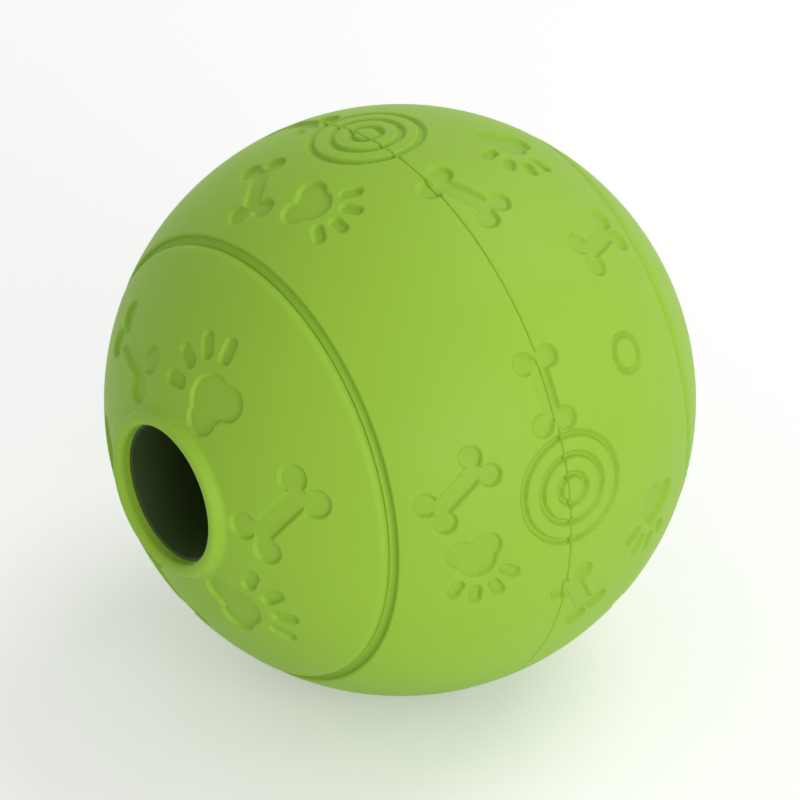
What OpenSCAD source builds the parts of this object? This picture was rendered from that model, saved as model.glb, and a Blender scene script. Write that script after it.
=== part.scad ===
// Treat dispensing ball: a hollow rubber ball with a screw cap, a mouth and a removable maze.
// The mouth looks along -Y and +Z is up. The origin is the centre of the ball.
// Every module is drawn with its own axis along Z, the mouth on top, and on_axis() lays it down.

/* [Ball] */
// Outer diameter of the ball
ball_d = 110; // [106:1:116]
// Thickness of the rubber wall
wall_t = 6; // [5.5:0.25:6.5]
// Angle from the mouth's axis to the cap seam, in degrees
seam_angle = 51.5; // [51:0.5:54]
// Width of the groove at the seam and of its twin on the far side
groove_w = 1.8; // [1.6:0.1:2.4]
// Depth of those grooves
groove_depth = 1.4; // [1.2:0.1:1.7]
// Level of the joint between the two halves, in front of the ball's middle
joint_z = 2.4; // [0:0.1:3]
// Height of the tongue that locks the two halves together at that joint
tongue_h = 2; // [1.5:0.25:3]
// Thickness of that tongue
tongue_t = 2; // [1.5:0.25:2.5]

/* [Mouth] */
// Diameter of the mouth's bore, inside its liner
mouth_d = 26; // [24:0.5:28]
// Step from the liner's bore out to the lip
lip_step = 0.5; // [0.3:0.1:0.8]
// Radius of the rounded lip's edge
lip_r = 1.3; // [1.1:0.1:1.5]
// How far the lip stands above the sphere
lip_rise = 1.9; // [1.4:0.1:2]
// Radius of the hollow between the lip and the sphere
lip_foot = 1.5; // [1.2:0.1:1.7]
// Depth of the flat seat behind the mouth, below the inner sphere
mouth_seat = 5.5; // [5:0.25:6]

/* [Screw neck] */
// Width of the rubber rim outside the neck ring
rim_t = 5.8; // [5.4:0.1:6.4]
// Wall of the neck ring
neck_t = 4; // [3.4:0.1:4.4]
// Length of the neck ring
neck_h = 11; // [10:0.25:12]
// Reach of the neck ring's locking flange into the rubber
flange_w = 3; // [2:0.25:3.5]
// Thickness of that flange
flange_t = 3; // [2:0.25:4]
// Thickness of the sealing ring
seal_t = 1.4; // [1:0.1:1.8]
// Lift of the cap in one turn
thread_lead = 12; // [11:0.25:13]
// Number of thread starts
thread_starts = 3; // [3:1:3]
// Height of a thread ridge
thread_h = 1.2; // [0.9:0.1:1.4]
// Width of a thread ridge at its root
thread_root_w = 1.8; // [1.4:0.1:2]
// Width of a thread ridge at its crest
thread_crest_w = 1.2; // [0.8:0.1:1.3]
// Length of thread along the axis
thread_span = 7.2; // [6.6:0.1:7.6]

/* [Cap ring] */
// Wall of the cap ring's skirt
skirt_t = 2.4; // [2:0.1:2.8]
// Length of the skirt below the cap's rim
skirt_h = 10.3; // [9.8:0.1:10.8]
// Height of the band that is moulded into the cap
band_h = 5.2; // [5:0.1:5.4]
// Wall of that band outside the skirt's bore
band_t = 4.9; // [4.4:0.1:5.2]
// Reach of the band's locking rib into the rubber
rib_w = 0.8; // [0.4:0.1:1]
// Height of that rib
rib_h = 1.6; // [1:0.1:2]
// Depth of the groove that the maze snaps into
swivel_d = 1.6; // [1.2:0.1:2]
// Height of that groove
swivel_h = 2.4; // [2:0.1:2.6]
// Distance from the cap's rim up to that groove
swivel_lift = 1.3; // [1.1:0.1:1.6]

/* [Throat] */
// Length of the throat tube below its flange
throat_len = 17.5; // [16:0.5:18]
// Wall of the throat tube
throat_t = 1.5; // [1.2:0.1:1.8]
// Taper of the throat's bore on each side, from top to bottom
throat_taper = 1.6; // [0.8:0.1:2]
// Width of the throat's flange outside its wall
throat_flange_w = 5.5; // [4:0.25:6]
// Thickness of that flange
throat_flange_t = 2; // [1.5:0.1:2.5]

/* [Maze] */
// Wall of the maze cage
cage_t = 2; // [1.6:0.1:2.4]
// Width of the cage's four windows
window_w = 24.6; // [22:0.2:26]
// Height of the cage's bottom rail above the floor's underside
rail_h = 4; // [3:0.25:5]
// Height of the cage's top ring below its rim
collar_h = 17.6; // [16.6:0.2:18.6]
// Gap between the post's tip and the throat
throat_gap = 4; // [3.5:0.1:5]
// Thickness of each deck
deck_t = 2; // [1.5:0.1:2.4]
// Gap between the key socket and the cage floor
socket_gap = 3; // [2.5:0.1:3.4]
// Width of deck left on each side of a treat hole
treat_hole_web = 2; // [1.5:0.25:3.5]
// Turn of the treat hole from one deck to the next, in degrees
hole_turn = 120; // [90:15:150]
// Radius of the hub under each deck
hub_r = 6.5; // [6:0.1:7.5]
// Radius of the centre post
post_r = 4; // [3:0.1:4.5]
// Length of the post above the top deck
post_tip = 4; // [3:0.25:4.5]
// Radius of the clip on the post
clip_r = 7.5; // [6.5:0.25:8.5]
// Thickness of that clip
clip_t = 2.5; // [2:0.1:3]

/* [Key] */
// Width across the post's square foot
foot_w = 9; // [8:0.25:10]
// Wall round the square socket, beyond the foot's corners
socket_t = 2.4; // [2:0.1:3]
// Height of the socket above its flange's underside
socket_h = 15; // [14.6:0.1:15.4]
// Width of the socket's flange
socket_flange_w = 5; // [4:0.25:6]
// Thickness of that flange
socket_flange_t = 2; // [1.5:0.1:2.5]
// Depth of the flat seat at the rear, above the inner sphere
rear_seat = 3; // [2.75:0.05:3.25]

/* [Moulded pattern] */
// Depth of the moulded pattern
relief_d = 0.8; // [0.5:0.05:1]
// Radius of a paw's main pad
pad_r = 4.7; // [4.2:0.1:5]
// Radius of a paw's toe
toe_r = 1.3; // [1.1:0.1:1.6]
// Length of a toe between its round ends
toe_len = 2.6; // [1.8:0.2:3]
// Distance from the pad's middle to the middle of a toe
toe_reach = 10; // [9.6:0.1:10.6]
// Length of a bone between its knobs
bone_len = 15; // [13:0.5:16]
// Width of a bone's shaft
bone_w = 4.4; // [3.8:0.1:5]
// Radius of a bone's knob
knob_r = 2.7; // [2.4:0.1:2.9]
// Spread of the two knobs on one end of a bone
knob_spread = 6.4; // [5.6:0.2:7]
// Outer radius of the large ring figure
ring_r = 11; // [9:0.25:11.5]
// Outer radius of the small ring figure
small_ring_r = 4; // [3.5:0.25:5]
// Step from one ring to the next
ring_step = 3.8; // [3.2:0.1:4.2]
// Width of a ring's line
ring_line = 1.1; // [0.8:0.1:1.4]

/* [Clearances] */
// Gap between the cap's rim and the body's rim
seam_gap = 0.3; // [0.2:0.05:0.4]
// Gap between the sealing ring and the cap
seal_gap = 0.15; // [0.1:0.05:0.2]
// Radial gap between a thread's crest and the wall that faces it
thread_gap = 0.3; // [0.2:0.05:0.4]
// Gap all round the cage where it turns in the cap ring
cage_gap = 0.35; // [0.25:0.05:0.45]
// Radial gap between a deck and the cage
deck_gap = 0.1; // [0.05:0.05:0.2]
// Radial gap between a hub and the post
post_gap = 0.1; // [0.05:0.05:0.2]
// Gap between each flat of the foot and the socket
foot_gap = 0.2; // [0.15:0.05:0.3]
// Gap under the foot
foot_drop = 1; // [0.8:0.1:1.2]

/* [Hidden] */
$fn = 96;
// Overrun of every cut past the face that it opens
cut = 1;

ball_r = ball_d / 2;
inner_r = ball_r - wall_t;
// Radius of the outer sphere at a level, and also its level at a radius
function ball_at(z) = sqrt(ball_r * ball_r - z * z);

// Seam and neck
seam_z = ball_r * cos(seam_angle);
seam_r = ball_at(seam_z);
cap_rim_z = seam_z + seam_gap / 2;
body_rim_z = seam_z - seam_gap / 2;
neck_out_r = seam_r - rim_t;
neck_r = neck_out_r - neck_t;
seal_top_z = cap_rim_z - seal_gap;
neck_top_z = seal_top_z - seal_t;
neck_low_z = neck_top_z - neck_h;

// Skirt, band and thread
skirt_out_r = neck_r - thread_h - thread_gap;
skirt_r = skirt_out_r - skirt_t;
skirt_low_z = cap_rim_z - skirt_h;
band_out_r = skirt_r + band_t;
band_top_z = cap_rim_z + band_h;
swivel_r = skirt_r + swivel_d;
swivel_z = cap_rim_z + swivel_lift;
thread_low_z = neck_top_z - thread_span - thread_root_w / 2;
start_pitch = thread_lead / thread_starts;
thread_turn = 360 * (thread_span - thread_root_w) / thread_lead;
// Turn between two rings of points along a thread ridge, in degrees
thread_facet = 12;
// Depth to which a ridge is rooted in its wall
thread_root = thread_h / 3;

// Mouth and throat
mouth_r = mouth_d / 2;
mouth_seat_z = inner_r - mouth_seat;
lip_mid_r = mouth_r + lip_step + lip_r;
lip_mid_z = ball_at(lip_mid_r) + lip_rise - lip_r;
// The hollow's circle touches the lip's circle and the sphere
lip_far = norm([lip_mid_r, lip_mid_z]);
foot_far = ball_r + lip_foot;
foot_near = lip_r + lip_foot;
foot_turn = acos(
    (foot_far * foot_far + lip_far * lip_far - foot_near * foot_near) / (2 * foot_far * lip_far)
);
foot_polar = atan2(lip_mid_r, lip_mid_z) + foot_turn;
foot_mid_r = foot_far * sin(foot_polar);
foot_mid_z = foot_far * cos(foot_polar);
// Directions from the hollow's middle to the sphere and to the lip
foot_to_ball = 270 - foot_polar;
foot_to_lip = 180 + atan2(foot_mid_z - lip_mid_z, foot_mid_r - lip_mid_r);
foot_steps = 5;
// Turn between two points of the lip's round edge, in degrees
lip_facet = 15;
throat_out_r = mouth_r + throat_t;
throat_seat_z = mouth_seat_z;
// The liner ends under the lip
liner_top_z = lip_mid_z - lip_r;
throat_low_z = throat_seat_z - throat_flange_t - throat_len;

// Cage and decks
cage_r = skirt_r - cage_gap;
cage_in_r = cage_r - cage_t;
bead_r = swivel_r - cage_gap;
bead_low_z = swivel_z + cage_gap;
bead_top_z = swivel_z + swivel_h - cage_gap;
// Height of the cage's rim above its bead
cage_lip = 0.5;
cage_top_z = bead_top_z + cage_lip;
deck_r = cage_in_r - deck_gap;
treat_hole_d = deck_r - hub_r - 2 * treat_hole_web;
hole_mid_r = (hub_r + deck_r) / 2;
// The floor is deck 0 and the top deck is the last one
top_deck = 3;
rear_seat_z = -(inner_r - rear_seat);
floor_low_z = rear_seat_z + socket_h + socket_gap;
post_top_z = throat_low_z - throat_gap;
deck_step = (post_top_z - post_tip - deck_t - floor_low_z) / top_deck;
hub_h = deck_step - deck_t;
function deck_z(k) = floor_low_z + k * deck_step;

// Key
foot_low_z = rear_seat_z + foot_drop;
socket_w = foot_w + 2 * foot_gap;
socket_r = foot_w / 2 * sqrt(2) + socket_t;

// Pattern places: azimuth about the mouth's axis, angle from the mouth, and turn of the figure.
// Azimuth 0 is up (+Z) and 90 is towards +X.
cap_turns = [0, 120, 240];
body_turns = [0, 90, 180, 270];
cap_paws = [[18.5, 26, 64]];
cap_bones = [[76.5, 29.5, 40]];
belt_rings = [[-9, 88.5, 0]];
belt_paws = [[1, 67.5, -75], [6, 112, -110]];
belt_bones = [[18, 92, -60], [60.5, 87, 90], [74.5, 65, 37]];
belt_small_rings = [[60, 109, 0]];
rear_bones = [[36, 116, 20]];
tail_paws = [[15, 150, 130]];
tail_rings = [[0, 180, 0]];
// Azimuth at which no figure lies on any shell
clear_azimuth = 48;
// Half angle of the fan of toes and the share of the outer toes' reach
toe_fan = 45;
outer_toe_share = 0.94;
// The pad's side lobes, as shares of its radius
lobe_r_share = 0.72;
lobe_x_share = 0.5;
lobe_y_share = 0.7;
// Size of the figures on the body, as a share of those on the cap
body_share = 0.8;

// Lays a piece that is drawn along Z down with its top towards -Y
module on_axis() {
    rotate([90, 0, 0]) children();
}

// A solid of revolution from a half outline. It starts on a line that no figure crosses.
module turned() {
    rotate([0, 0, 90 - clear_azimuth]) rotate_extrude() children();
}

// A flat ring drawn between two levels
module ring(r_in, r_out, z_low, z_top) {
    turned() translate([r_in, z_low]) square([r_out - r_in, z_top - z_low]);
}

// Half outline of the rubber wall between two levels
module wall_outline(z_low, z_top) {
    intersection() {
        difference() {
            circle(ball_r);
            circle(inner_r);
        }
        translate([0, z_low]) square([ball_r + cut, z_top - z_low]);
    }
}

// Groove with a round bottom, straight down into the ball at a level of its surface
module groove_outline(z) {
    rotate([0, 0, asin(z / ball_r)]) translate([ball_r - groove_depth + groove_w / 2, 0]) {
        circle(groove_w / 2);
        translate([0, -groove_w / 2]) square([groove_depth, groove_w]);
    }
}

// One helical ridge of trapezoid section. It rises thread_lead in a turn and fades in and out.
module thread_ridge(root_r, crest_r, z_start) {
    steps = ceil(thread_turn / thread_facet);
    function level(i) = z_start + thread_lead * thread_turn * i / steps / 360;
    function crest(i) = (i == 0 || i == steps) ? (root_r + crest_r) / 2 : crest_r;
    function corner(i, r, dz) = [
        r * cos(thread_turn * i / steps), r * sin(thread_turn * i / steps), level(i) + dz
    ];
    points = [
        for (i = [0:steps]) each [
            corner(i, root_r, -thread_root_w / 2), corner(i, crest(i), -thread_crest_w / 2),
            corner(i, crest(i), thread_crest_w / 2), corner(i, root_r, thread_root_w / 2)
        ]
    ];
    sides = [
        for (i = [0:steps - 1], j = [0:3])
        let (a = 4 * i + j, b = 4 * i + (j + 1) % 4)
        each [[a, b, b + 4], [a, b + 4, a + 4]]
    ];
    ends = [[2, 1, 0], [3, 2, 0], [for (j = [0, 1, 2]) 4 * steps + j], [for (j = [0, 2, 3]) 4 * steps + j]];
    outward = crest_r > root_r;
    faces = concat(sides, ends);
    polyhedron(points, [for (f = faces) outward ? f : [f[2], f[1], f[0]]]);
}

// All starts of a thread
module thread(root_r, crest_r, z_start) {
    for (s = [0:thread_starts - 1])
        rotate([0, 0, 360 / thread_starts * s]) thread_ridge(root_r, crest_r, z_start);
}

// Stands a flat figure on the sphere and cuts it to the relief's depth
module stamp(place, turn) {
    difference() {
        rotate([0, 0, 90 - place[0] - turn]) rotate([0, place[1], 0]) rotate([0, 0, place[2]])
            translate([0, 0, inner_r]) linear_extrude(wall_t + cut) children();
        rotate([0, 0, 90 - clear_azimuth]) sphere(ball_r - relief_d);
    }
}

// Paw: one pad with two lobes, and four long toes in a fan
module paw(share) {
    pad = share * pad_r;
    toe = share * toe_r;
    circle(pad);
    for (s = [-1, 1])
        translate([-pad * lobe_x_share, s * pad * lobe_y_share]) circle(pad * lobe_r_share);
    for (i = [-1.5:1:1.5]) {
        reach = share * (abs(i) > 1 ? toe_reach * outer_toe_share : toe_reach);
        rotate([0, 0, i * toe_fan / 1.5]) translate([reach, 0]) {
            square([share * toe_len, 2 * toe], center = true);
            for (x = [-1, 1]) translate([x * share * toe_len / 2, 0]) circle(toe);
        }
    }
}

// Bone: a shaft with two knobs on each end
module bone(share) {
    square([share * bone_len, share * bone_w], center = true);
    for (x = [-1, 1], y = [-1, 1])
        translate([x * share * bone_len / 2, y * share * knob_spread / 2]) circle(share * knob_r);
}

// Rings, one inside the other
module rings(outer_r) {
    for (r = [outer_r:-ring_step:ring_line * 2])
        difference() {
            circle(r);
            circle(r - ring_line);
        }
}

module cap_pattern() {
    for (t = cap_turns) {
        for (p = cap_paws) stamp(p, t) paw(1);
        for (p = cap_bones) stamp(p, t) bone(1);
    }
}

module front_pattern() {
    for (t = body_turns) {
        for (p = belt_rings) stamp(p, t) rings(ring_r);
        for (p = belt_bones) stamp(p, t) bone(body_share);
        stamp(belt_paws[0], t) paw(body_share);
    }
}

module rear_pattern() {
    for (t = body_turns) {
        for (p = belt_rings) stamp(p, t) rings(ring_r);
        stamp(belt_bones[0], t) bone(body_share);
        stamp(belt_bones[1], t) bone(body_share);
        stamp(belt_paws[1], t) paw(body_share);
        for (p = belt_small_rings) stamp(p, t) rings(small_ring_r);
        for (p = rear_bones) stamp(p, t) bone(body_share);
        for (p = tail_paws) stamp(p, t) paw(body_share);
    }
    for (p = tail_rings) stamp(p, 0) rings(ring_r);
}

// Cap: rubber dome with the mouth, its lip and the pockets for the liner and the cap ring
module cap_shell() {
    foot_arc = [
        for (i = [0:foot_steps])
        let (a = foot_to_ball + (foot_to_lip - foot_to_ball) * i / foot_steps)
        [foot_mid_r + lip_foot * cos(a), foot_mid_z + lip_foot * sin(a)]
    ];
    lip_arc = [
        for (a = [lip_facet:lip_facet:180])
        [lip_mid_r + lip_r * cos(a), lip_mid_z + lip_r * sin(a)]
    ];
    color("yellowgreen") on_axis() difference() {
        turned() {
            difference() {
                intersection() {
                    circle(ball_r);
                    translate([throat_out_r, cap_rim_z]) square([ball_r, ball_r]);
                }
                intersection() {
                    circle(inner_r);
                    translate([0, -cut]) square([ball_r, mouth_seat_z + cut]);
                }
                translate([0, cap_rim_z - cut]) square([band_out_r, band_h + cut]);
                translate([0, cap_rim_z + band_h / 2 - rib_h / 2]) square([band_out_r + rib_w, rib_h]);
                groove_outline(seam_z);
            }
            polygon(concat(
                [[throat_out_r, mouth_seat_z], [foot_mid_r, mouth_seat_z]], foot_arc, lip_arc,
                [[mouth_r + lip_step, liner_top_z], [throat_out_r, liner_top_z]]
            ));
        }
        cap_pattern();
    }
}

// Cap ring: the band moulded into the cap, the swivel groove and the male thread on the skirt
module cap_ring() {
    color("dimgray") on_axis() {
        turned() difference() {
            union() {
                translate([skirt_r, skirt_low_z]) square([skirt_t, band_top_z - skirt_low_z]);
                translate([skirt_r, cap_rim_z]) square([band_t, band_h]);
                translate([skirt_r, cap_rim_z + band_h / 2 - rib_h / 2]) square([band_t + rib_w, rib_h]);
            }
            translate([skirt_r - cut, swivel_z]) square([swivel_d + cut, swivel_h]);
        }
        thread(skirt_out_r - thread_root, skirt_out_r + thread_h, thread_low_z + thread_root_w);
    }
}

// Throat: liner of the mouth, flange on the cap's seat and a tube that narrows inwards
module throat_tube() {
    color("olivedrab") on_axis() turned() polygon([
        [mouth_r, liner_top_z],
        [throat_out_r, liner_top_z],
        [throat_out_r, throat_seat_z],
        [throat_out_r + throat_flange_w, throat_seat_z],
        [throat_out_r + throat_flange_w, throat_seat_z - throat_flange_t],
        [throat_out_r, throat_seat_z - throat_flange_t],
        [throat_out_r - throat_taper, throat_low_z],
        [mouth_r - throat_taper, throat_low_z],
        [mouth_r, throat_seat_z]
    ]);
}

// Front half: rubber from the joint to the seam, thickened round the neck ring
module front_shell() {
    color("yellowgreen") on_axis() difference() {
        turned() difference() {
            union() {
                wall_outline(joint_z, body_rim_z);
                intersection() {
                    circle(ball_r - wall_t / 2);
                    translate([neck_out_r, neck_low_z]) square([ball_r, body_rim_z - neck_low_z]);
                }
            }
            translate([0, neck_low_z - cut]) square([neck_out_r, ball_r]);
            translate([0, neck_low_z - cut]) square([neck_out_r + flange_w, flange_t + cut]);
            translate([ball_r - wall_t / 2 - tongue_t / 2, joint_z - cut])
                square([tongue_t, tongue_h + cut]);
            groove_outline(seam_z);
        }
        front_pattern();
    }
}

// Rear half: closed bowl with its tongue, the twin groove and the socket's seat
module rear_shell() {
    color("yellowgreen") on_axis() difference() {
        turned() difference() {
            union() {
                wall_outline(-ball_r - cut, joint_z);
                translate([ball_r - wall_t / 2 - tongue_t / 2, joint_z - cut])
                    square([tongue_t, tongue_h + cut]);
                intersection() {
                    circle(ball_r - wall_t / 2);
                    translate([0, -ball_r]) square([ball_r, ball_r + rear_seat_z]);
                }
            }
            groove_outline(-seam_z);
        }
        rear_pattern();
    }
}

// Neck ring: sleeve with the female thread and a locking flange
module neck_ring() {
    color("dimgray") on_axis() {
        turned() polygon([
            [neck_r, neck_low_z], [neck_out_r + flange_w, neck_low_z],
            [neck_out_r + flange_w, neck_low_z + flange_t], [neck_out_r, neck_low_z + flange_t],
            [neck_out_r, neck_top_z], [neck_r, neck_top_z]
        ]);
        thread(neck_r + thread_root, neck_r - thread_h, thread_low_z + thread_root_w - start_pitch / 2);
    }
}

// Sealing ring on the neck ring's top
module seal_ring() {
    color("black") on_axis() ring(neck_r, neck_out_r, neck_top_z, seal_top_z);
}

// Socket: square hole on a round flange
module key_socket() {
    color("dimgray") on_axis() difference() {
        union() {
            translate([0, 0, rear_seat_z]) cylinder(h = socket_h, r = socket_r);
            translate([0, 0, rear_seat_z]) cylinder(h = socket_flange_t, r = socket_r + socket_flange_w);
        }
        translate([-socket_w / 2, -socket_w / 2, rear_seat_z - cut])
            cube([socket_w, socket_w, socket_h + 2 * cut]);
    }
}

// Cage: collar with the snap bead, four legs and a bottom rail
module maze_cage() {
    window_low_z = deck_z(0) + rail_h;
    window_top_z = cage_top_z - collar_h;
    color("gainsboro") on_axis() difference() {
        turned() {
            translate([cage_in_r, deck_z(0)]) square([cage_t, cage_top_z - deck_z(0)]);
            translate([cage_in_r, bead_low_z]) square([bead_r - cage_in_r, bead_top_z - bead_low_z]);
        }
        for (a = [0, 90]) rotate([0, 0, a])
            translate([-cage_r - cut, -window_w / 2, window_low_z])
                cube([2 * (cage_r + cut), window_w, window_top_z - window_low_z]);
    }
}

// One deck: disc with a treat hole, and a hub below it where it stands on another deck
module deck(k, has_hub) {
    on_axis() difference() {
        union() {
            translate([0, 0, deck_z(k)]) cylinder(h = deck_t, r = deck_r);
            if (has_hub) translate([0, 0, deck_z(k) - hub_h]) cylinder(h = hub_h + deck_t, r = hub_r);
        }
        translate([0, 0, deck_z(k) - hub_h - cut])
            cylinder(h = hub_h + deck_t + 2 * cut, r = post_r + post_gap);
        rotate([0, 0, k * hole_turn]) translate([hole_mid_r, 0, deck_z(k) - cut])
            cylinder(h = deck_t + 2 * cut, d = treat_hole_d);
    }
}

module maze_floor() {
    color("gainsboro") deck(0, false);
}

module lower_baffle() {
    color("gainsboro") deck(1, true);
}

module middle_baffle() {
    color("gainsboro") deck(2, true);
}

module upper_baffle() {
    color("gainsboro") deck(top_deck, true);
}

// Post: round above the floor, with a square foot below it
module centre_post() {
    color("gainsboro") on_axis() {
        translate([0, 0, deck_z(0)]) cylinder(h = post_top_z - deck_z(0), r = post_r);
        translate([-foot_w / 2, -foot_w / 2, foot_low_z]) cube([foot_w, foot_w, deck_z(0) - foot_low_z]);
    }
}

// Clip that holds the decks down on the post
module post_clip() {
    color("dimgray") on_axis()
        ring(post_r + post_gap, clip_r, deck_z(top_deck) + deck_t, deck_z(top_deck) + deck_t + clip_t);
}

cap_shell();
cap_ring();
throat_tube();
front_shell();
rear_shell();
neck_ring();
seal_ring();
key_socket();
maze_cage();
maze_floor();
lower_baffle();
middle_baffle();
upper_baffle();
centre_post();
post_clip();
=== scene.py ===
# %% [markdown]
# # A treat ball in green rubber
# The object is a hollow rubber ball. Treats inside it drop out of its round mouth as it rolls.
# Outside it is three mouldings: a cap with the mouth, which unscrews at a groove, and two halves
# that are joined near the equator. Inside are screw rings, a throat and a removable maze.
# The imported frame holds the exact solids. Here they get rounded edges, pressed figures and finishes.
# %% Start from the frame
import math

import bmesh
import bpy
import numpy as np
from mathutils import Matrix, Vector


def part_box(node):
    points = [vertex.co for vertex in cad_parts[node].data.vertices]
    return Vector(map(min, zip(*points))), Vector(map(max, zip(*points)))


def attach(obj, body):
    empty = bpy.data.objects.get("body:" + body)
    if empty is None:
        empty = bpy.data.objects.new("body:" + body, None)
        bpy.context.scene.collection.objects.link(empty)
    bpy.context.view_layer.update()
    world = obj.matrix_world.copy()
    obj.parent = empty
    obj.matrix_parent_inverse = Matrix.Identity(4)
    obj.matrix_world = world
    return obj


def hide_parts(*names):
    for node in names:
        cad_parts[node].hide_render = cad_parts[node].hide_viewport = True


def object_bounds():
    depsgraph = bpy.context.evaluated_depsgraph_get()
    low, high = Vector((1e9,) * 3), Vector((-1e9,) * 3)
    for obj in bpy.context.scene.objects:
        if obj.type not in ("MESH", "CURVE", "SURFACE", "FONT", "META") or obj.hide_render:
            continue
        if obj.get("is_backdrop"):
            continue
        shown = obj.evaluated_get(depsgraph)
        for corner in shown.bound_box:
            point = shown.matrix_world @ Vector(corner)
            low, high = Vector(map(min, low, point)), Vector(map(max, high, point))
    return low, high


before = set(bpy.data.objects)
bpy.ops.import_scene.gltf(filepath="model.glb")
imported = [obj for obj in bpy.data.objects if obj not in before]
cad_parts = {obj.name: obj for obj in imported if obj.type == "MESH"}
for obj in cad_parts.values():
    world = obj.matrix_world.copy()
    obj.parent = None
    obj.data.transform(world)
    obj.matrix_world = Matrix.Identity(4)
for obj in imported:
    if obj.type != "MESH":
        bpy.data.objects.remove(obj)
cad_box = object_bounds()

MM = 0.001
print("frame nodes:", ", ".join(sorted(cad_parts)))

# %% [markdown]
# ## Sizes
# A reader who changes the ball should have to change it in one place only. So the sizes are taken
# from the boxes of the frame's nodes, and only what a box can't tell is given here.
# All outlines here are pairs of numbers in millimetres: the distance from the ball's axis, and the
# level along that axis. The axis is -Y, out of the mouth.
# %% Read the sizes from the frame


def reach(node):
    """Largest radius of a round node, and its lowest and highest level towards the mouth."""
    low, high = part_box(node)
    return high[0] / MM, -high[1] / MM, -low[1] / MM


ball_r = -reach("rear_shell")[1]
_, cap_rim, lip_top = reach("cap_shell")
_, joint_level, body_rim = reach("front_shell")
seam_level = (cap_rim + body_rim) / 2
seam_polar = math.degrees(math.acos(seam_level / ball_r))
print(f"ball {2 * ball_r:.1f} mm across, seam at {seam_polar:.1f} degrees from the mouth's axis")

wall = 6
inner_r = ball_r - wall
mouth_r = 13
mouth_seat_drop, rear_seat_drop = 5.5, 3
mouth_seat = inner_r - mouth_seat_drop
rear_seat = rear_seat_drop - inner_r
print(f"rubber {wall} mm thick, mouth {2 * mouth_r} mm across")

# %% [markdown]
# ## Outlines and turned pieces
# Every shell is round about the same axis, so half of its section is enough to describe it.
# The section is drawn as arcs and corners, and bmesh spins it into a closed wall. A lathe shape
# could also be a curve with a Screw modifier, but a spin leaves a plain mesh that can be cut finer
# where the pressed figures need it.
# %% Arcs and points of a section
same_point = 1e-4


def on_sphere(radius, polar):
    """Point on a sphere's section. The polar angle is counted from the mouth, in degrees."""
    return radius * math.sin(math.radians(polar)), radius * math.cos(math.radians(polar))


def bearing(start, end):
    """Direction from one point of the section to another, in degrees from the radius axis."""
    return math.degrees(math.atan2(end[1] - start[1], end[0] - start[0]))


def arc(centre, radius, start, end, turn, step=12):
    """Points on an arc. turn is 1 for anticlockwise and -1 for clockwise."""
    sweep = (end - start) * turn % 360 * turn
    count = max(1, math.ceil(abs(sweep) / step))
    angles = [math.radians(start + sweep * i / count) for i in range(count + 1)]
    return [(centre[0] + radius * math.cos(a), centre[1] + radius * math.sin(a)) for a in angles]


def sphere_arc(radius, start, end, step=1.2):
    """Points on a sphere's section between two polar angles."""
    count = max(1, math.ceil(abs(end - start) / step))
    return [on_sphere(radius, start + (end - start) * i / count) for i in range(count + 1)]


def tidy(outline):
    """The same outline without points that repeat."""
    kept = []
    for point in outline:
        if not kept or math.dist(point, kept[-1]) > same_point:
            kept.append(point)
    if math.dist(kept[0], kept[-1]) < same_point:
        kept.pop()
    return kept


print("a quarter circle is drawn with", len(arc((0, 0), 1, 0, 90, 1)), "points")

# %% Rounded corners
corner_step = 30
corner_share = 0.45


def eased(corners, radius):
    """A closed outline of straight lines with every corner rounded.

    A round takes at most corner_share of the shorter line beside it.
    """
    outline = []
    for i, here in enumerate(corners):
        before, after = corners[i - 1], corners[(i + 1) % len(corners)]
        back, ahead = bearing(here, before), bearing(here, after)
        opening = (back - ahead) % 360
        side = 1 if opening < 180 else -1
        half = math.radians(min(opening, 360 - opening) / 2)
        room = corner_share * min(math.dist(here, before), math.dist(here, after))
        cut = min(radius / math.tan(half), room)
        bend = cut * math.tan(half)
        aim = math.radians(ahead + side * math.degrees(half))
        reach_in = bend / math.sin(half)
        centre = (here[0] + reach_in * math.cos(aim), here[1] + reach_in * math.sin(aim))
        outline += arc(centre, bend, back + side * 90, ahead - side * 90, side, corner_step)
    return outline


print("a square with soft corners has", len(eased([(0, 0), (1, 0), (1, 1), (0, 1)], 0.1)), "points")

# %% The spin, and a finished piece
ball_steps, ring_steps = 300, 180
welded = 1e-7
sharp_edge = 35


def spun(outline, steps=ball_steps):
    """A bmesh of the closed outline turned once round the ball's axis."""
    bm = bmesh.new()
    verts = [bm.verts.new((r * MM, -h * MM, 0)) for r, h in tidy(outline)]
    edges = [bm.edges.new(pair) for pair in zip(verts, verts[1:] + verts[:1])]
    bmesh.ops.spin(bm, geom=verts + edges, cent=(0, 0, 0), axis=(0, 1, 0), angle=math.tau,
                   steps=steps, use_merge=True)
    bmesh.ops.remove_doubles(bm, verts=bm.verts, dist=welded)
    loose = [edge for edge in bm.edges if not edge.link_faces]
    bmesh.ops.delete(bm, geom=loose, context="EDGES")
    bmesh.ops.recalc_face_normals(bm, faces=bm.faces)
    return bm


def finished(bm, name, body, stands_for, material):
    """Turns a bmesh into a piece of the scene that rides on a body and replaces a node."""
    for face in bm.faces:
        face.smooth = True
    for edge in bm.edges:
        if edge.is_manifold and edge.calc_face_angle(0) > math.radians(sharp_edge):
            edge.smooth = False
    gaps = sum(not edge.is_manifold for edge in bm.edges)
    mesh = bpy.data.meshes.new(name)
    bm.to_mesh(mesh)
    bm.free()
    piece = bpy.data.objects.new(name, mesh)
    bpy.context.collection.objects.link(piece)
    mesh.materials.append(material)
    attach(piece, body)
    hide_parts(stands_for)
    triangles = sum(len(p.vertices) - 2 for p in mesh.polygons)
    print(f"{name}: {triangles} triangles, {gaps} open edges")


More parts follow.
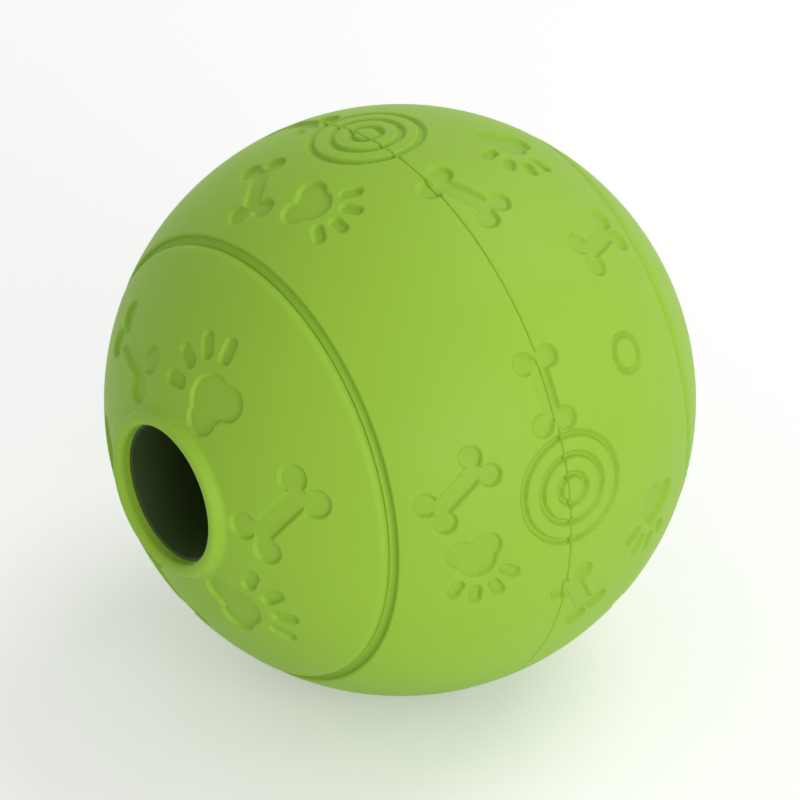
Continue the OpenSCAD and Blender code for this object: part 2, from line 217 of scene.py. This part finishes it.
# %% [markdown]
# ## The figures
# Paws, bones and rings are pressed 0.8 mm into the rubber. They could be cut with booleans, but
# then their edges would be knife sharp. A moulded edge is soft, so each figure is written as a
# distance: how far a point of the surface lies from the figure's edge. Below, that distance sinks
# the surface with a smooth step.
# %% A disc and a bar


def disc(u, v, x, y, r):
    """Distance to the edge of a disc about (x, y)."""
    return np.hypot(u - x, v - y) - r


def bar(u, v, x, y, turn, half_length, r):
    """A bar with round ends, turned about its middle."""
    c, s = math.cos(turn), math.sin(turn)
    along = (u - x) * c + (v - y) * s
    across = (v - y) * c - (u - x) * s
    return np.hypot(np.maximum(np.abs(along) - half_length, 0), across) - r


print("from the middle of a disc to its edge:", disc(0, 0, 0, 0, 1))

# %% A paw
pad_r, toe_r, toe_half, toe_reach = 4.7, 1.3, 1.3, 10
lobe_back, lobe_side, lobe_r = 0.5, 0.7, 0.72
toe_fan = (-45, -15, 15, 45)
outer_toe = 0.94


def paw(u, v, share):
    """Main pad with two lobes, and four long toes in a fan. The lobes are shares of the pad."""
    pad = share * pad_r
    shape = disc(u, v, 0, 0, pad)
    for side in (-1, 1):
        shape = np.minimum(shape, disc(u, v, -lobe_back * pad, side * lobe_side * pad, lobe_r * pad))
    for angle in toe_fan:
        turn = math.radians(angle)
        out = share * toe_reach * (outer_toe if abs(angle) == toe_fan[-1] else 1)
        toe = bar(u, v, out * math.cos(turn), out * math.sin(turn), turn, share * toe_half, share * toe_r)
        shape = np.minimum(shape, toe)
    return shape


print(f"a paw is {pad_r + toe_reach + toe_half + toe_r:.1f} mm long")

# %% A bone
bone_half, shaft_half, knob_r, knob_side = 7.5, 2.2, 2.7, 3.2


def bone(u, v, share):
    """A shaft with two knobs on each end."""
    inside = np.maximum(np.abs(u) - share * bone_half, np.abs(v) - share * shaft_half)
    for x in (-1, 1):
        for y in (-1, 1):
            knob = disc(u, v, x * share * bone_half, y * share * knob_side, share * knob_r)
            inside = np.minimum(inside, knob)
    return inside


print(f"a bone is {2 * (bone_half + knob_r):.1f} mm long")

# %% A set of rings
ring_step, ring_line = 3.8, 1.1
far_off = 99.0


def rings(u, v, outer_r):
    """Rings, one inside the other."""
    radius = outer_r
    distance = np.hypot(u, v)
    shape = np.full(u.shape, far_off)
    while radius >= 2 * ring_line:
        shape = np.minimum(shape, np.abs(distance - radius + ring_line / 2) - ring_line / 2)
        radius -= ring_step
    return shape


print(f"rings are {ring_line} mm wide, one every {ring_step} mm")

# %% [markdown]
# The figures sit on the ball by two angles: the azimuth about the mouth's axis, from straight up
# towards +X, and the polar angle from the mouth. A third number turns the figure in its place.
# The cap repeats three times round the axis and the body four times.
# %% Where the figures lie
cap_turns = (0, 120, 240)
body_turns = (0, 90, 180, 270)
body_share = 0.8
large_ring, small_ring = 11, 4

cap_figures = [(paw, 1, (18.5, 26, 64)), (bone, 1, (76.5, 29.5, 40))]
front_figures = [
    (rings, large_ring, (-9, 88.5, 0)),
    (paw, body_share, (1, 67.5, -75)),
    (bone, body_share, (18, 92, -60)),
    (bone, body_share, (60.5, 87, 90)),
    (bone, body_share, (74.5, 65, 37)),
]
rear_figures = [
    (rings, large_ring, (-9, 88.5, 0)),
    (bone, body_share, (18, 92, -60)),
    (bone, body_share, (60.5, 87, 90)),
    (paw, body_share, (6, 112, -110)),
    (rings, small_ring, (60, 109, 0)),
    (bone, body_share, (36, 116, 20)),
]
tail_figures = [(paw, body_share, (15, 150, 130))]
tail_rings = [(rings, large_ring, (0, 180, 0))]
facing_share = 0.9


def all_round(figures, turns):
    """The figures, repeated at each turn about the mouth's axis."""
    return [(shape, size, (azimuth + t, polar, twist)) for t in turns
            for shape, size, (azimuth, polar, twist) in figures]


def figure_axes(azimuth, polar, twist):
    """Middle of a figure on the unit sphere, and its two axes in the tangent plane."""
    a, p, s = (math.radians(x) for x in (azimuth, polar, twist))
    middle = np.array((math.sin(p) * math.sin(a), -math.cos(p), math.sin(p) * math.cos(a)))
    south = np.array((math.cos(p) * math.sin(a), math.sin(p), math.cos(p) * math.cos(a)))
    east = np.array((math.cos(a), 0, -math.sin(a)))
    along = math.cos(s) * south - math.sin(s) * east
    across = -math.sin(s) * south - math.cos(s) * east
    return middle, along, across


def edge_distance(points, figures):
    """Distance of points to the nearest figure's edge in mm, negative inside a figure."""
    nearest = np.full(len(points), far_off)
    for shape, size, place in figures:
        middle, along, across = figure_axes(*place)
        facing = np.flatnonzero(points @ middle > facing_share * ball_r)
        if len(facing):
            u, v = points[facing] @ along, points[facing] @ across
            nearest[facing] = np.minimum(nearest[facing], shape(u, v, size))
    return nearest


print(len(all_round(cap_figures, cap_turns)), "figures on the cap")

# %% [markdown]
# ## Pressing the figures in
# A smooth step needs points to bend, but only near a figure's edge. So the wall's faces are split
# there once or twice, the second time in a narrower band, and every new point is put back on the
# sphere. Then each point sinks by its distance. An even fine mesh would look the same with ten
# times the faces.
# %% Split, round and sink
press_depth = 0.8
press_soft = 0.6
skin = 1.2
at_surface, exact = 0.02, 1e-5
split_share = 0.55
margin = 1


def positions(bm):
    """All points of a bmesh as rows of an array, in mm."""
    flat = np.empty(len(bm.verts) * 3)
    for i, vert in enumerate(bm.verts):
        flat[3 * i:3 * i + 3] = vert.co
    return flat.reshape(-1, 3) / MM


def pressed(bm, figures, first_polar, last_polar, length=1.15, passes=2):
    """Presses figures into the outer face of a shell between two polar angles.

    length is the longest edge of the wall's faces there before they are split, in mm.
    """
    for _ in range(passes):
        points = positions(bm)
        radius = np.linalg.norm(points, axis=1)
        polar = np.degrees(np.arccos(np.clip(-points[:, 1] / radius, -1, 1)))
        outer = (np.abs(radius - ball_r) < at_surface) & (polar > first_polar) & (polar < last_polar)
        band = press_soft / 2 + split_share * length
        near = outer & (np.abs(edge_distance(points, figures)) < band)
        bm.verts.index_update()
        faces = [f for f in bm.faces
                 if all(outer[v.index] for v in f.verts) and any(near[v.index] for v in f.verts)]
        edges = list({e for f in faces for e in f.edges})
        bmesh.ops.subdivide_edges(bm, edges=edges, cuts=1, use_grid_fill=True)
        for vert in bm.verts:
            shortfall = ball_r - vert.co.length / MM
            if exact < shortfall < at_surface:
                vert.co *= ball_r * MM / vert.co.length
        length /= 2
    points = positions(bm)
    radius = np.linalg.norm(points, axis=1)
    amount = np.clip(0.5 - edge_distance(points, figures) / press_soft, 0, 1)
    polar = np.degrees(np.arccos(np.clip(-points[:, 1] / radius, -1, 1)))
    in_range = (radius > ball_r - skin) & (polar > first_polar - margin) & (polar < last_polar + margin)
    amount = amount * amount * (3 - 2 * amount) * in_range
    layer = bm.verts.layers.float.get("pressed") or bm.verts.layers.float.new("pressed")
    for i, vert in enumerate(bm.verts):
        if amount[i] > 0:
            vert.co *= 1 - press_depth * amount[i] / radius[i]
            vert[layer] = amount[i]
    bmesh.ops.triangulate(bm, faces=[f for f in bm.faces if len(f.verts) > 4])
    return bm


print(f"figures {press_depth} mm deep, with edges {press_soft} mm wide")

# %% [markdown]
# ## Finishes
# The ball is moulded thermoplastic rubber: one strong green, satin, with a fine grain and faint
# clouds where the melt flowed. Noise textures on Object coordinates give clouds, grain and an
# uneven gloss. They need no unwrapping and look the same on every piece of the same slot.
# %% A moulded finish
cloud_mm, gloss_mm = 22, 4
gloss_swing = 0.07
grain_strength = 0.35
pressed_shade = 0.6


def moulded(name, colour, second, roughness, grain_mm, grain_depth, specular=0.4, shade_in_figures=0.0):
    """Procedural material: clouds between two colours, uneven gloss, a fine grain and, if asked, painted
    shade in the pressed figures.
    """
    material = bpy.data.materials.new(name)
    material.use_nodes = True
    nodes, links = material.node_tree.nodes, material.node_tree.links
    shader = nodes["Principled BSDF"]
    shader.inputs["Specular IOR Level"].default_value = specular
    coordinates = nodes.new("ShaderNodeTexCoord").outputs["Object"]

    def noise(size_mm, detail):
        node = nodes.new("ShaderNodeTexNoise")
        node.inputs["Scale"].default_value = 1 / (size_mm * MM)
        node.inputs["Detail"].default_value = detail
        links.new(coordinates, node.inputs["Vector"])
        return node.outputs["Fac"]

    clouds = nodes.new("ShaderNodeMix")
    clouds.data_type = "RGBA"
    clouds.inputs["A"].default_value = (*colour, 1)
    clouds.inputs["B"].default_value = (*second, 1)
    links.new(noise(cloud_mm, 3), clouds.inputs["Factor"])
    surface = clouds.outputs["Result"]
    # Painted shade: inside the pressed figures the colour is darkened towards pressed_shade of itself,
    # standing in for the shade in the recesses.
    if shade_in_figures:
        attribute = nodes.new("ShaderNodeAttribute")
        attribute.attribute_name = "pressed"
        amount = nodes.new("ShaderNodeMath")
        amount.operation = "MULTIPLY"
        amount.inputs[1].default_value = shade_in_figures
        links.new(attribute.outputs["Fac"], amount.inputs[0])
        painted_shade = nodes.new("ShaderNodeMix")
        painted_shade.data_type = "RGBA"
        painted_shade.inputs["B"].default_value = (*(pressed_shade * c for c in colour), 1)
        links.new(amount.outputs["Value"], painted_shade.inputs["Factor"])
        links.new(surface, painted_shade.inputs["A"])
        surface = painted_shade.outputs["Result"]
    links.new(surface, shader.inputs["Base Color"])

    gloss = nodes.new("ShaderNodeMapRange")
    gloss.inputs["To Min"].default_value = roughness - gloss_swing
    gloss.inputs["To Max"].default_value = roughness + gloss_swing
    links.new(noise(gloss_mm, 4), gloss.inputs["Value"])
    links.new(gloss.outputs["Result"], shader.inputs["Roughness"])

    bump = nodes.new("ShaderNodeBump")
    bump.inputs["Strength"].default_value = grain_strength
    bump.inputs["Distance"].default_value = grain_depth * MM
    links.new(noise(grain_mm, 2), bump.inputs["Height"])
    links.new(bump.outputs["Normal"], shader.inputs["Normal"])
    return material


print(f"clouds {cloud_mm} mm wide, gloss varies by {gloss_swing} either way")

# %% The finishes of this ball
green, deep_green = (0.33, 0.57, 0.045), (0.305, 0.54, 0.04)
# A little painted shade darkens the green inside the pressed figures.
green_rubber = moulded("green_rubber", green, deep_green, 0.52, 0.35, 0.03, specular=0.25, shade_in_figures=0.06)
# The throat's near-black colour is painted shade: it stands in for the deep shade inside the mouth.
throat_rubber = moulded("throat_rubber", (0.035, 0.07, 0.012), (0.028, 0.055, 0.01), 0.6, 0.35, 0.03)
ring_plastic = moulded("ring_plastic", (0.055, 0.06, 0.055), (0.045, 0.048, 0.045), 0.42, 0.25, 0.02)
seal_rubber = moulded("seal_rubber", (0.02, 0.02, 0.02), (0.028, 0.027, 0.025), 0.65, 0.3, 0.02)
maze_plastic = moulded("maze_plastic", (0.76, 0.77, 0.74), (0.72, 0.73, 0.69), 0.38, 0.4, 0.015)
print("the ball's greens:", green, "and", deep_green)

# %% [markdown]
# ## The grooves
# The cap meets the body in a rounded groove, and a twin groove runs round the far side. In the
# section each is three arcs: a soft edge, the trough, and a second soft edge. The edges touch both
# the sphere and the trough, so light runs over them without a crease. The edge on the cap is the
# broader one: it shows as a bright line beside the dark trough.
# %% Section of a groove
groove_r = 0.9
groove_depth = 1.4
broad_edge, small_edge = 2.0, 0.5


def groove(polar, near_r, far_r):
    """Near edge, trough and far edge of a groove, each as a list of points."""
    trough_level = ball_r - groove_depth + groove_r
    middle = on_sphere(trough_level, polar)

    def edge(edge_r, side):
        """Middle of an edge's arc, and the angle at which the arc meets the sphere."""
        low_r, apart = ball_r - edge_r, groove_r + edge_r
        spread = math.acos((trough_level ** 2 + low_r ** 2 - apart ** 2) / (2 * trough_level * low_r))
        meets = polar + side * math.degrees(spread)
        return on_sphere(low_r, meets), meets

    (near, start), (far, end) = edge(near_r, -1), edge(far_r, 1)
    near_edge = arc(near, near_r, 90 - start, bearing(near, middle), -1)
    trough = arc(middle, groove_r, bearing(middle, near), bearing(middle, far), 1)
    far_edge = arc(far, far_r, bearing(far, middle), 90 - end, -1)
    return near_edge, trough, far_edge, start, end


seam_near, seam_trough, seam_far, cap_end, body_start = groove(seam_polar, broad_edge, small_edge)
trough_middle = on_sphere(ball_r - groove_depth + groove_r, seam_polar)


def trough_at(level):
    """Radius at which the seam's trough crosses a level, on its inner side."""
    return trough_middle[0] - math.sqrt(groove_r ** 2 - (level - trough_middle[1]) ** 2)


print(f"the seam's groove runs from {cap_end:.1f} to {body_start:.1f} degrees")

# %% [markdown]
# ## The cap
# The cap is a rubber dome with a round mouth. The mouth's lip stands proud, and a small hollow
# leads from it into the dome. The lip overhangs the liner's end, which hides the joint. Below, a
# flat seat takes the liner's flange, and a deep pocket holds the screw ring.
# %% Lip and valley
lip_step = 0.5
lip_r = 1.3
valley_r = 1.5
lip_facet, valley_facet = 10, 6
lip_middle = (mouth_r + lip_step + lip_r, lip_top - lip_r)
liner_t = 1.5
liner_out_r = mouth_r + liner_t
flange_out_r, throat_low, liner_top = reach("throat_tube")


def circle_meet(a, ra, b, rb):
    """Point at distance ra from a and rb from b, on the side away from the axis."""
    apart = math.dist(a, b)
    along = (ra ** 2 - rb ** 2 + apart ** 2) / (2 * apart)
    off = math.sqrt(ra ** 2 - along ** 2)
    x, y = (b[0] - a[0]) / apart, (b[1] - a[1]) / apart
    return a[0] + along * x + off * y, a[1] + along * y - off * x


valley = circle_meet((0, 0), ball_r + valley_r, lip_middle, lip_r + valley_r)
valley_end = 90 - bearing((0, 0), valley)
lip = arc(lip_middle, lip_r, 180, bearing(lip_middle, valley), -1, lip_facet)
lip += arc(valley, valley_r, bearing(valley, lip_middle), bearing(valley, (0, 0)), 1, valley_facet)
print(f"the lip runs out into the sphere {valley_end:.1f} degrees from the mouth's axis")

# %% The cap's section and its piece
ring_out_r, skirt_low, band_top = reach("cap_ring")
rib_w = 0.8
ring_band_r = ring_out_r - rib_w
rib_from, rib_to = 1.8, 3.4
rib_low, rib_top = cap_rim + rib_from, cap_rim + rib_to
cap_step, bore_step = 0.6, 3


def on_bore(level):
    """Polar angle at which the inner sphere reaches a level."""
    return math.degrees(math.acos(level / inner_r))


cap_outline = [(liner_out_r, mouth_seat), (liner_out_r, liner_top), (mouth_r + lip_step, liner_top)] + lip
cap_outline += sphere_arc(ball_r, valley_end, cap_end, cap_step)
cap_outline += seam_near + [p for p in seam_trough if p[1] > cap_rim] + [(trough_at(cap_rim), cap_rim)]
cap_outline += [(ring_band_r, cap_rim), (ring_band_r, rib_low), (ring_out_r, rib_low)]
cap_outline += [(ring_out_r, rib_top), (ring_band_r, rib_top), (ring_band_r, band_top)]
cap_outline += sphere_arc(inner_r, on_bore(band_top), on_bore(mouth_seat), bore_step)

cap = pressed(spun(cap_outline), all_round(cap_figures, cap_turns), valley_end, cap_end, length=0.9)
finished(cap, "cap_dome", "cap", "cap_shell", green_rubber)

# %% [markdown]
# ## The two halves
# The front half runs from the seam to a joint near the ball's middle and is thick round the screw
# neck. The rear half is closed. They lock with a tongue and are bonded, which leaves a fine line:
# the two outer edges are rounded a little, so that the line catches the light as on the real ball.
# %% Front half
joint_r = 0.35
joint_facet = 22
wall_middle, tongue_half, tongue_h = ball_r - wall / 2, 1, 2
tongue_in, tongue_out = wall_middle - tongue_half, wall_middle + tongue_half
tongue_top = joint_level + tongue_h
tongue_corners = [
    (tongue_out, joint_level), (tongue_out, tongue_top), (tongue_in, tongue_top), (tongue_in, joint_level),
]
neck_out_r, neck_top, seal_top = reach("seal_ring")
flange_r, neck_low, _ = reach("neck_ring")
flange_t = 3
flange_top = neck_low + flange_t
past_edge = 0.1


def joint_edge(side):
    """Middle of the rounded edge on one side of the joint, and where it meets the sphere."""
    polar = math.degrees(math.acos((joint_level + side * joint_r) / (ball_r - joint_r)))
    return on_sphere(ball_r - joint_r, polar), polar


front_outline = [(trough_at(body_rim), body_rim)] + [p for p in seam_trough if p[1] < body_rim] + seam_far
front_joint, front_end = joint_edge(1)
front_outline += sphere_arc(ball_r, body_start, front_end)
front_outline += arc(front_joint, joint_r, 90 - front_end, -90, -1, joint_facet)
front_outline += tongue_corners
front_outline += sphere_arc(inner_r, on_bore(joint_level), on_bore(neck_low), bore_step)
front_outline += [(flange_r, neck_low), (flange_r, flange_top)]
front_outline += [(neck_out_r, flange_top), (neck_out_r, body_rim)]

front = pressed(spun(front_outline), all_round(front_figures, body_turns), body_start, front_end + past_edge)
finished(front, "front_half", "ball_body", "front_shell", green_rubber)

# %% Rear half
tail_step, rear_bore_step = 0.8, 5
twin_near, twin_trough, twin_far, twin_start, twin_end = groove(180 - seam_polar, small_edge, broad_edge)
rear_joint, rear_start = joint_edge(-1)
rear_outline = tongue_corners[::-1]
rear_outline += arc(rear_joint, joint_r, 90, 90 - rear_start, -1, joint_facet)
rear_outline += sphere_arc(ball_r, rear_start, twin_start) + twin_near + twin_trough + twin_far
rear_outline += sphere_arc(ball_r, twin_end, 180, tail_step) + [(0, rear_seat)]
rear_outline += sphere_arc(inner_r, on_bore(rear_seat), on_bore(joint_level), rear_bore_step)

rear = pressed(spun(rear_outline), all_round(rear_figures, body_turns), rear_start - past_edge, twin_start)
tail = all_round(tail_figures, body_turns) + tail_rings
rear = pressed(rear, tail, twin_end, 180 + past_edge, length=0.77, passes=1)
finished(rear, "rear_half", "ball_body", "rear_shell", green_rubber)

# %% [markdown]
# ## The liner of the mouth
# A tube lines the mouth. Its near-black colour is painted shade, for the mouth is nearly black right up to
# its lip.
# It is one moulding: a straight liner, a flange that is bonded to the cap's seat, and a throat that
# narrows inwards, so that treats come out slowly. Its section has straight lines, so it is drawn
# with corners and each corner is eased.
# %% Liner
edge_r = 0.35
flange_h = 2
taper = 1.6
liner_corners = [
    (mouth_r, liner_top),
    (mouth_r, mouth_seat),
    (mouth_r - taper, throat_low),
    (liner_out_r - taper, throat_low),
    (liner_out_r, mouth_seat - flange_h),
    (flange_out_r, mouth_seat - flange_h),
    (flange_out_r, mouth_seat),
    (liner_out_r, mouth_seat),
    (liner_out_r, liner_top),
]
liner = spun(eased(liner_corners, edge_r), steps=ring_steps)
finished(liner, "throat_liner", "cap", "throat_tube", throat_rubber)

# %% [markdown]
# ## The screw rings
# A hard ring is moulded into the cap and another into the neck, because a thread in soft rubber
# would strip. The thread has three starts and rises 12 mm in a turn, so one turn frees the cap.
# Each ridge is a small rounded section that a spin carries round while it climbs. Its ends run
# out into the wall, as they do on a moulded thread, so that the two threads find each other.
# %% Thread
thread_h, thread_root_w, thread_crest_w = 1.2, 1.8, 1.2
thread_lead, thread_span, thread_starts = 12, 7.2, 3
thread_turn = 360 * (thread_span - thread_root_w) / thread_lead
thread_low = neck_top - thread_span + thread_root_w / 2
run_out = 12
ridge_step = 3
ridge_edge = 0.3


def add_thread(bm, wall_r, outward, first_level):
    """Adds the ridges of a thread to a ring, on its outside or its inside."""
    root, crest = wall_r - outward * thread_h / 3, wall_r + outward * thread_h
    section = [
        (root, -thread_root_w / 2), (crest, -thread_crest_w / 2),
        (crest, thread_crest_w / 2), (root, thread_root_w / 2),
    ]
    steps = math.ceil(thread_turn / ridge_step)
    climb = thread_lead * thread_turn / 360 / steps
    for start in range(thread_starts):
        verts = [bm.verts.new((r * MM, -(first_level + h) * MM, 0)) for r, h in eased(section, ridge_edge)]
        face = bm.faces.new(verts)
        before = set(bm.verts) - set(verts)
        bmesh.ops.spin(bm, geom=verts + list(face.edges) + [face], cent=(0, 0, 0), axis=(0, -1, 0),
                       dvec=(0, -climb * MM, 0), angle=math.radians(thread_turn), steps=steps)
        ridge = [v for v in bm.verts if v not in before]
        for vert in ridge:
            radius = math.hypot(vert.co.x, vert.co.z)
            along = math.degrees(math.atan2(vert.co.z, vert.co.x)) % 360
            shown = max(0, min(1, along / run_out, (thread_turn - along) / run_out))
            kept = (root * MM + (radius - root * MM) * shown) / radius
            vert.co.x *= kept
            vert.co.z *= kept
        turn = Matrix.Rotation(-math.tau * start / thread_starts, 3, "Y")
        bmesh.ops.rotate(bm, verts=ridge, cent=(0, 0, 0), matrix=turn)
    bmesh.ops.recalc_face_normals(bm, faces=bm.faces)


print(f"each ridge winds {thread_turn:.0f} degrees round its ring")

# %% Cap ring
band_t, skirt_t = 4.9, 2.4
skirt_r = ring_out_r - rib_w - band_t
skirt_out_r = skirt_r + skirt_t
swivel_depth, swivel_from, swivel_h = 1.6, 1.3, 2.4
swivel_r, swivel_low = skirt_r + swivel_depth, cap_rim + swivel_from
swivel_top = swivel_low + swivel_h
cap_ring_corners = [
    (skirt_r, skirt_low), (skirt_out_r, skirt_low), (skirt_out_r, cap_rim), (ring_band_r, cap_rim),
    (ring_band_r, rib_low), (ring_out_r, rib_low), (ring_out_r, rib_top), (ring_band_r, rib_top),
    (ring_band_r, band_top), (skirt_r, band_top), (skirt_r, swivel_top), (swivel_r, swivel_top),
    (swivel_r, swivel_low), (skirt_r, swivel_low),
]
male = spun(eased(cap_ring_corners, edge_r), steps=ring_steps)
add_thread(male, skirt_out_r, 1, thread_low)
finished(male, "screw_skirt", "cap", "cap_ring", ring_plastic)

# %% Neck ring
neck_t = 4
neck_r = neck_out_r - neck_t
neck_corners = [
    (neck_r, neck_low), (flange_r, neck_low), (flange_r, flange_top), (neck_out_r, flange_top),
    (neck_out_r, neck_top), (neck_r, neck_top),
]
female = spun(eased(neck_corners, edge_r), steps=ring_steps)
add_thread(female, neck_r, -1, thread_low - thread_lead / thread_starts / 2)
finished(female, "screw_neck", "ball_body", "neck_ring", ring_plastic)

# %% Sealing ring
seal_edge = 0.5
seal_corners = [(neck_r, neck_top), (neck_out_r, neck_top), (neck_out_r, seal_top), (neck_r, seal_top)]
seal = spun(eased(seal_corners, seal_edge), steps=ring_steps)
finished(seal, "soft_seal", "ball_body", "seal_ring", seal_rubber)

# %% [markdown]
# ## The maze and its key
# These pieces have windows, holes and square corners. Their solids come from the frame: a copy is
# merged into one skin, its flat faces are joined up, and every sharp edge gets a small round, as
# each edge of a moulded part has.
# %% Soft copies of the frame's pieces
merged, flat_enough, sharp_enough = 1e-6, 0.5, 30


def softened(node, body, material):
    """A copy of a node with its sharp edges rounded. The angles above are in degrees."""
    bm = bmesh.new()
    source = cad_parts[node]
    bm.from_mesh(source.data)
    bmesh.ops.transform(bm, matrix=source.matrix_world, verts=bm.verts)
    bmesh.ops.remove_doubles(bm, verts=bm.verts, dist=merged)
    bmesh.ops.dissolve_limit(bm, angle_limit=math.radians(flat_enough), verts=bm.verts, edges=bm.edges)
    bmesh.ops.recalc_face_normals(bm, faces=bm.faces)
    sharp = [e for e in bm.edges if e.is_manifold and e.calc_face_angle(0) > math.radians(sharp_enough)]
    bmesh.ops.bevel(bm, geom=sharp, offset=edge_r * MM, offset_type="OFFSET", segments=3, profile=0.5,
                    affect="EDGES", clamp_overlap=True, material=-1)
    finished(bm, f"soft_{node}", body, node, material)


for node in ("maze_cage", "maze_floor", "lower_baffle", "middle_baffle", "upper_baffle", "centre_post"):
    softened(node, "maze", maze_plastic)
softened("post_clip", "maze", ring_plastic)
softened("key_socket", "ball_body", ring_plastic)

# %% [markdown]
# ## The studio
# The light is plain and soft. An even world gives half of the light, and two large lamps, one from
# the right and one from above, give the rest, so a colour comes out about as written. The floor is
# pale. To the camera and in reflections it also glows a little, which keeps it white and leaves the
# shadow.
# %% World
scene = bpy.context.scene
scene.view_settings.view_transform = "Standard"
ambient = 0.5


def camera_sees(tree):
    """1 for rays from the camera, reflections and glass, and 0 for light on the object."""
    path = tree.nodes.new("ShaderNodeLightPath")
    first = tree.nodes.new("ShaderNodeMath")
    first.operation = "MAXIMUM"
    tree.links.new(path.outputs["Is Camera Ray"], first.inputs[0])
    tree.links.new(path.outputs["Is Glossy Ray"], first.inputs[1])
    both = tree.nodes.new("ShaderNodeMath")
    both.operation = "MAXIMUM"
    tree.links.new(first.outputs["Value"], both.inputs[0])
    tree.links.new(path.outputs["Is Transmission Ray"], both.inputs[1])
    return both.outputs["Value"]


world = bpy.data.worlds.new("studio")
scene.world = world
world.use_nodes = True
tree = world.node_tree
dim = tree.nodes["Background"]
dim.inputs["Color"].default_value = (1, 1, 1, 1)
dim.inputs["Strength"].default_value = ambient
white = tree.nodes.new("ShaderNodeBackground")
white.inputs["Color"].default_value = (1, 1, 1, 1)
choose = tree.nodes.new("ShaderNodeMixShader")
tree.links.new(camera_sees(tree), choose.inputs["Fac"])
tree.links.new(dim.outputs["Background"], choose.inputs[1])
tree.links.new(white.outputs["Background"], choose.inputs[2])
tree.links.new(choose.outputs["Shader"], tree.nodes["World Output"].inputs["Surface"])
print("strength of the world:", ambient)

# %% Lamps
lamp_width, lamp_away = 0.9, 1.2


def disk_lamp(name, direction, energy):
    """A large round lamp that shines at the ball from a direction."""
    direction = Vector(direction).normalized()
    lamp = bpy.data.lights.new(name, "AREA")
    lamp.shape = "DISK"
    lamp.size = lamp_width
    lamp.energy = energy
    holder = bpy.data.objects.new(name, lamp)
    holder.location = direction * lamp_away
    holder.rotation_euler = direction.to_track_quat("Z", "Y").to_euler()
    bpy.context.collection.objects.link(holder)
    print(f"{name}: {energy} W")


disk_lamp("side_light", (0.93, -0.15, 0.22), 6.3)
disk_lamp("top_light", (0.05, 0.6, 0.8), 4.2)

# %% Floor
floor_r = 6
floor_grey, floor_glow = 0.86, 0.3
floor_bm = bmesh.new()
bmesh.ops.create_circle(floor_bm, cap_ends=True, radius=floor_r, segments=64)
bmesh.ops.translate(floor_bm, verts=floor_bm.verts, vec=(0, 0, -ball_r * MM))
floor_mesh = bpy.data.meshes.new("floor")
floor_bm.to_mesh(floor_mesh)
floor_bm.free()
floor = bpy.data.objects.new("floor", floor_mesh)
bpy.context.collection.objects.link(floor)
floor_paint = bpy.data.materials.new("floor_paint")
floor_paint.use_nodes = True
tree = floor_paint.node_tree
shader = tree.nodes["Principled BSDF"]
shader.inputs["Base Color"].default_value = (floor_grey, floor_grey, floor_grey, 1)
shader.inputs["Roughness"].default_value = 0.9
shader.inputs["Emission Color"].default_value = (1, 1, 1, 1)
glow = tree.nodes.new("ShaderNodeMath")
glow.operation = "MULTIPLY"
glow.inputs[1].default_value = floor_glow
tree.links.new(camera_sees(tree), glow.inputs[0])
tree.links.new(glow.outputs["Value"], shader.inputs["Emission Strength"])
floor_mesh.materials.append(floor_paint)
floor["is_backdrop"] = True
print(f"the floor touches the ball {ball_r:.1f} mm below its middle")

# %% [markdown]
# ## The camera
# The ball is seen from above and to the right of its mouth, from far away, so its outline is a
# circle and the mouth an ellipse. The long lens keeps the ball large without bending it.
# %% Camera
azimuth, elevation = math.radians(52.8), math.radians(32.2)
distance = 2.2
fill = 0.74
sensor_mm = 36
view_direction = Vector((
    math.sin(azimuth) * math.cos(elevation),
    -math.cos(azimuth) * math.cos(elevation),
    math.sin(elevation),
))
camera_data = bpy.data.cameras.new("camera")
camera_data.sensor_width = sensor_mm
camera_data.lens = sensor_mm / 2 * fill * distance / (ball_r * MM)
camera_data.clip_end = 20
camera = bpy.data.objects.new("camera", camera_data)
camera.location = view_direction * distance
camera.rotation_euler = view_direction.to_track_quat("Z", "Y").to_euler()
bpy.context.collection.objects.link(camera)
scene.camera = camera
print(f"lens {camera_data.lens:.0f} mm")

# %% Sizes of the dressed ball, for comparison with the frame
new_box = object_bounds()
differences = [abs(a - b) / MM for new, old in zip(new_box, cad_box) for a, b in zip(new, old)]
print(f"the dressed ball's box differs from the frame's by at most {max(differences):.3f} mm")
